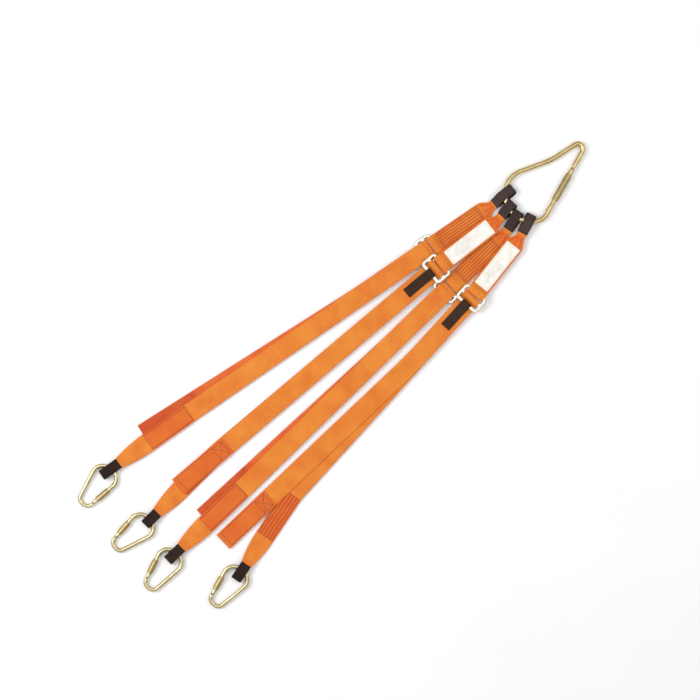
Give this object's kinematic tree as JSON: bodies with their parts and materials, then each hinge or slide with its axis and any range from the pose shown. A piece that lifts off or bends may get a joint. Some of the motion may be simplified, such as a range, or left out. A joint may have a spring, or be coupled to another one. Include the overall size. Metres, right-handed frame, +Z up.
{
  "type": "adjustable webbing lifting bridle",
  "caption": "Lifting bridle laid flat: webbing legs with slide adjusters and sewn eyes hang from one large screw-gate karabiner, each ending in a small one.",
  "frame": {"origin": "middle of the footprint, on the floor that the sling lies on", "axes": "+Z up, +X along the sling towards the large karabiner"},
  "size_m": [1.4451, 0.4495, 0.0234],
  "materials": {
    "webbing": "woven polyester, orange",
    "tail_webbing": "woven polyester, deeper orange",
    "sleeve_webbing": "woven, black",
    "tab_webbing": "narrow webbing, black",
    "label": "smooth coated label, white, blank",
    "adjuster_steel": "bright zinc-plated steel",
    "gold_steel": "yellow zinc-plated steel",
    "sleeve_steel": "yellow zinc-plated steel, knurled",
    "spring_steel": "drawn steel"
  },
  "bodies": {
    "root": {"master_karabiner": "gold_steel", "master_hinge_rivet": "spring_steel"},
    "master_gate_body": {"master_gate": "gold_steel", "master_latch_pin": "spring_steel", "master_gate_spring": "spring_steel", "master_spring_plunger": "spring_steel"},
    "master_lock_body": {"master_lock_sleeve": "sleeve_steel"},
    "leg_a_top": {"leg_a_upper_strap": "webbing", "leg_a_upper_sleeve": "sleeve_webbing", "leg_a_label": "label"},
    "leg_a_slide": {"leg_a_adjuster": "adjuster_steel", "leg_a_strap_wrap": "webbing", "leg_a_release_tab": "tab_webbing"},
    "leg_a_strap": {"leg_a_lower_strap": "webbing", "leg_a_lower_sleeve": "sleeve_webbing"},
    "leg_a_free_tail": {"leg_a_tail": "tail_webbing"},
    "leg_a_hook": {"leg_a_karabiner": "gold_steel"},
    "leg_a_hook_gate": {"leg_a_gate": "gold_steel", "leg_a_gate_hardware": "spring_steel"},
    "leg_a_hook_lock": {"leg_a_lock_sleeve": "sleeve_steel"},
    "leg_b_top": {"leg_b_upper_strap": "webbing", "leg_b_upper_sleeve": "sleeve_webbing", "leg_b_label": "label"},
    "leg_b_slide": {"leg_b_adjuster": "adjuster_steel", "leg_b_strap_wrap": "webbing", "leg_b_release_tab": "tab_webbing"},
    "leg_b_strap": {"leg_b_lower_strap": "webbing", "leg_b_lower_sleeve": "sleeve_webbing"},
    "leg_b_free_tail": {"leg_b_tail": "tail_webbing"},
    "leg_b_hook": {"leg_b_karabiner": "gold_steel"},
    "leg_b_hook_gate": {"leg_b_gate": "gold_steel", "leg_b_gate_hardware": "spring_steel"},
    "leg_b_hook_lock": {"leg_b_lock_sleeve": "sleeve_steel"},
    "leg_c_top": {"leg_c_upper_strap": "webbing", "leg_c_upper_sleeve": "sleeve_webbing", "leg_c_label": "label"},
    "leg_c_slide": {"leg_c_adjuster": "adjuster_steel", "leg_c_strap_wrap": "webbing", "leg_c_release_tab": "tab_webbing"},
    "leg_c_strap": {"leg_c_lower_strap": "webbing", "leg_c_lower_sleeve": "sleeve_webbing"},
    "leg_c_free_tail": {"leg_c_tail": "tail_webbing"},
    "leg_c_hook": {"leg_c_karabiner": "gold_steel"},
    "leg_c_hook_gate": {"leg_c_gate": "gold_steel", "leg_c_gate_hardware": "spring_steel"},
    "leg_c_hook_lock": {"leg_c_lock_sleeve": "sleeve_steel"},
    "leg_d_top": {"leg_d_upper_strap": "webbing", "leg_d_upper_sleeve": "sleeve_webbing", "leg_d_label": "label"},
    "leg_d_slide": {"leg_d_adjuster": "adjuster_steel", "leg_d_strap_wrap": "webbing", "leg_d_release_tab": "tab_webbing"},
    "leg_d_strap": {"leg_d_lower_strap": "webbing", "leg_d_lower_sleeve": "sleeve_webbing"},
    "leg_d_free_tail": {"leg_d_tail": "tail_webbing"},
    "leg_d_hook": {"leg_d_karabiner": "gold_steel"},
    "leg_d_hook_gate": {"leg_d_gate": "gold_steel", "leg_d_gate_hardware": "spring_steel"},
    "leg_d_hook_lock": {"leg_d_lock_sleeve": "sleeve_steel"}
  },
  "joints": [
    {"name": "master_gate_open", "type": "hinge", "parent": "root", "child": "master_gate_body", "pos_m": [0.66358, -0.00664, 0.00861], "axis": [-0.0138, 0, -0.9999], "range_deg": [0, 25], "stiffness_Nm_per_rad": 0.5},
    {"name": "master_lock_travel", "type": "slide", "parent": "master_gate_body", "child": "master_lock_body", "axis": [-0.9506, -0.3102, 0.0131], "range_m": [0, 0.024]},
    {"name": "leg_a_swing", "type": "hinge", "parent": "root", "child": "leg_a_top", "pos_m": [0.5086, 0.0538, 0.01074], "axis": [0.6769, 0.736, -0.0093], "range_deg": [-35, 0]},
    {"name": "leg_a_adjuster_tilt", "type": "hinge", "parent": "leg_a_top", "child": "leg_a_slide", "pos_m": [0.3092, 0.07688, 0.00492], "axis": [0.1312, 0.9914, 0], "range_deg": [-7, 0]},
    {"name": "leg_a_length_adjust", "type": "slide", "parent": "leg_a_slide", "child": "leg_a_strap", "axis": [-0.9913, 0.1312, -0.0083], "range_m": [0, 0.08]},
    {"name": "leg_a_tail_travel", "type": "slide", "parent": "leg_a_slide", "child": "leg_a_free_tail", "axis": [-0.9913, 0.1312, -0.0083], "range_m": [-0.08, 0]},
    {"name": "leg_a_hook_swing", "type": "hinge", "parent": "leg_a_strap", "child": "leg_a_hook", "pos_m": [-0.5984, 0.19336, 0.0095], "axis": [-0.165, 0.9863, 0], "range_deg": [-30, 30]},
    {"name": "leg_a_hook_gate_open", "type": "hinge", "parent": "leg_a_hook", "child": "leg_a_hook_gate", "pos_m": [-0.67975, 0.1616, 0.00771], "axis": [-0.0207, -0.0035, 0.9998], "range_deg": [0, 25], "stiffness_Nm_per_rad": 0.1},
    {"name": "leg_a_hook_lock_travel", "type": "slide", "parent": "leg_a_hook_gate", "child": "leg_a_hook_lock", "axis": [0.9994, -0.028, 0.0206], "range_m": [0, 0.013]},
    {"name": "leg_b_swing", "type": "hinge", "parent": "root", "child": "leg_b_top", "pos_m": [0.49348, 0.0252, 0.01095], "axis": [0.2101, 0.9777, -0.0029], "range_deg": [0, 35]},
    {"name": "leg_b_adjuster_tilt", "type": "hinge", "parent": "leg_b_top", "child": "leg_b_slide", "pos_m": [0.29202, 0.03299, 0.01866], "axis": [0.0329, 0.9995, 0], "range_deg": [0, 7]},
    {"name": "leg_b_length_adjust", "type": "slide", "parent": "leg_b_slide", "child": "leg_b_strap", "axis": [-0.9994, 0.0329, -0.0096], "range_m": [0, 0.08]},
    {"name": "leg_b_tail_travel", "type": "slide", "parent": "leg_b_slide", "child": "leg_b_free_tail", "axis": [-0.9994, 0.0329, -0.0096], "range_m": [-0.08, 0]},
    {"name": "leg_b_hook_swing", "type": "hinge", "parent": "leg_b_strap", "child": "leg_b_hook", "pos_m": [-0.6094, 0.04436, 0.0095], "axis": [0.0698, 0.9976, 0], "range_deg": [-30, 30]},
    {"name": "leg_b_hook_gate_open", "type": "hinge", "parent": "leg_b_hook", "child": "leg_b_hook_gate", "pos_m": [-0.69342, 0.06818, 0.00771], "axis": [0.0209, -0.0015, -0.9998], "range_deg": [0, 25], "stiffness_Nm_per_rad": 0.1},
    {"name": "leg_b_hook_lock_travel", "type": "slide", "parent": "leg_b_hook_gate", "child": "leg_b_hook_lock", "axis": [0.9921, 0.1236, 0.0206], "range_m": [0, 0.013]},
    {"name": "leg_c_swing", "type": "hinge", "parent": "root", "child": "leg_c_top", "pos_m": [0.4936, -0.00167, 0.01095], "axis": [-0.2219, 0.9751, 0.0031], "range_deg": [-35, 0]},
    {"name": "leg_c_adjuster_tilt", "type": "hinge", "parent": "leg_c_top", "child": "leg_c_slide", "pos_m": [0.28017, -0.0188, 0.00492], "axis": [-0.0408, 0.9992, 0], "range_deg": [-7, 0]},
    {"name": "leg_c_length_adjust", "type": "slide", "parent": "leg_c_slide", "child": "leg_c_strap", "axis": [-0.9991, -0.0408, -0.0083], "range_m": [0, 0.08]},
    {"name": "leg_c_tail_travel", "type": "slide", "parent": "leg_c_slide", "child": "leg_c_free_tail", "axis": [-0.9991, -0.0408, -0.0083], "range_m": [-0.08, 0]},
    {"name": "leg_c_hook_swing", "type": "hinge", "parent": "leg_c_strap", "child": "leg_c_hook", "pos_m": [-0.6154, -0.05264, 0.0095], "axis": [-0.1736, 0.9848, 0], "range_deg": [-30, 30]},
    {"name": "leg_c_hook_gate_open", "type": "hinge", "parent": "leg_c_hook", "child": "leg_c_hook_gate", "pos_m": [-0.70269, -0.04986, 0.00771], "axis": [0.0206, 0.0036, -0.9998], "range_deg": [0, 25], "stiffness_Nm_per_rad": 0.1},
    {"name": "leg_c_hook_lock_travel", "type": "slide", "parent": "leg_c_hook_gate", "child": "leg_c_hook_lock", "axis": [0.9327, 0.36, 0.0206], "range_m": [0, 0.013]},
    {"name": "leg_d_swing", "type": "hinge", "parent": "root", "child": "leg_d_top", "pos_m": [0.50705, -0.0281, 0.01077], "axis": [-0.653, 0.7573, 0.009], "range_deg": [0, 35]},
    {"name": "leg_d_adjuster_tilt", "type": "hinge", "parent": "leg_d_top", "child": "leg_d_slide", "pos_m": [0.30603, -0.07005, 0.01866], "axis": [-0.1008, 0.9949, 0], "range_deg": [0, 7]},
    {"name": "leg_d_length_adjust", "type": "slide", "parent": "leg_d_slide", "child": "leg_d_strap", "axis": [-0.9949, -0.1008, -0.0102], "range_m": [0, 0.08]},
    {"name": "leg_d_tail_travel", "type": "slide", "parent": "leg_d_slide", "child": "leg_d_free_tail", "axis": [-0.9949, -0.1008, -0.0102], "range_m": [-0.08, 0]},
    {"name": "leg_d_hook_swing", "type": "hinge", "parent": "leg_d_strap", "child": "leg_d_hook", "pos_m": [-0.5284, -0.18564, 0.0095], "axis": [-0.1392, 0.9903, 0], "range_deg": [-30, 30]},
    {"name": "leg_d_hook_gate_open", "type": "hinge", "parent": "leg_d_hook", "child": "leg_d_hook_gate", "pos_m": [-0.61554, -0.17981, 0.00771], "axis": [0.0207, 0.0029, -0.9998], "range_deg": [0, 25], "stiffness_Nm_per_rad": 0.1},
    {"name": "leg_d_hook_lock_travel", "type": "slide", "parent": "leg_d_hook_gate", "child": "leg_d_hook_lock", "axis": [0.9447, 0.3272, 0.0206], "range_m": [0, 0.013]}
  ],
  "couplings": [
    {"joint": "leg_a_tail_travel", "follows": "leg_a_length_adjust", "ratio": -1},
    {"joint": "leg_b_tail_travel", "follows": "leg_b_length_adjust", "ratio": -1},
    {"joint": "leg_c_tail_travel", "follows": "leg_c_length_adjust", "ratio": -1},
    {"joint": "leg_d_tail_travel", "follows": "leg_d_length_adjust", "ratio": -1}
  ]
}
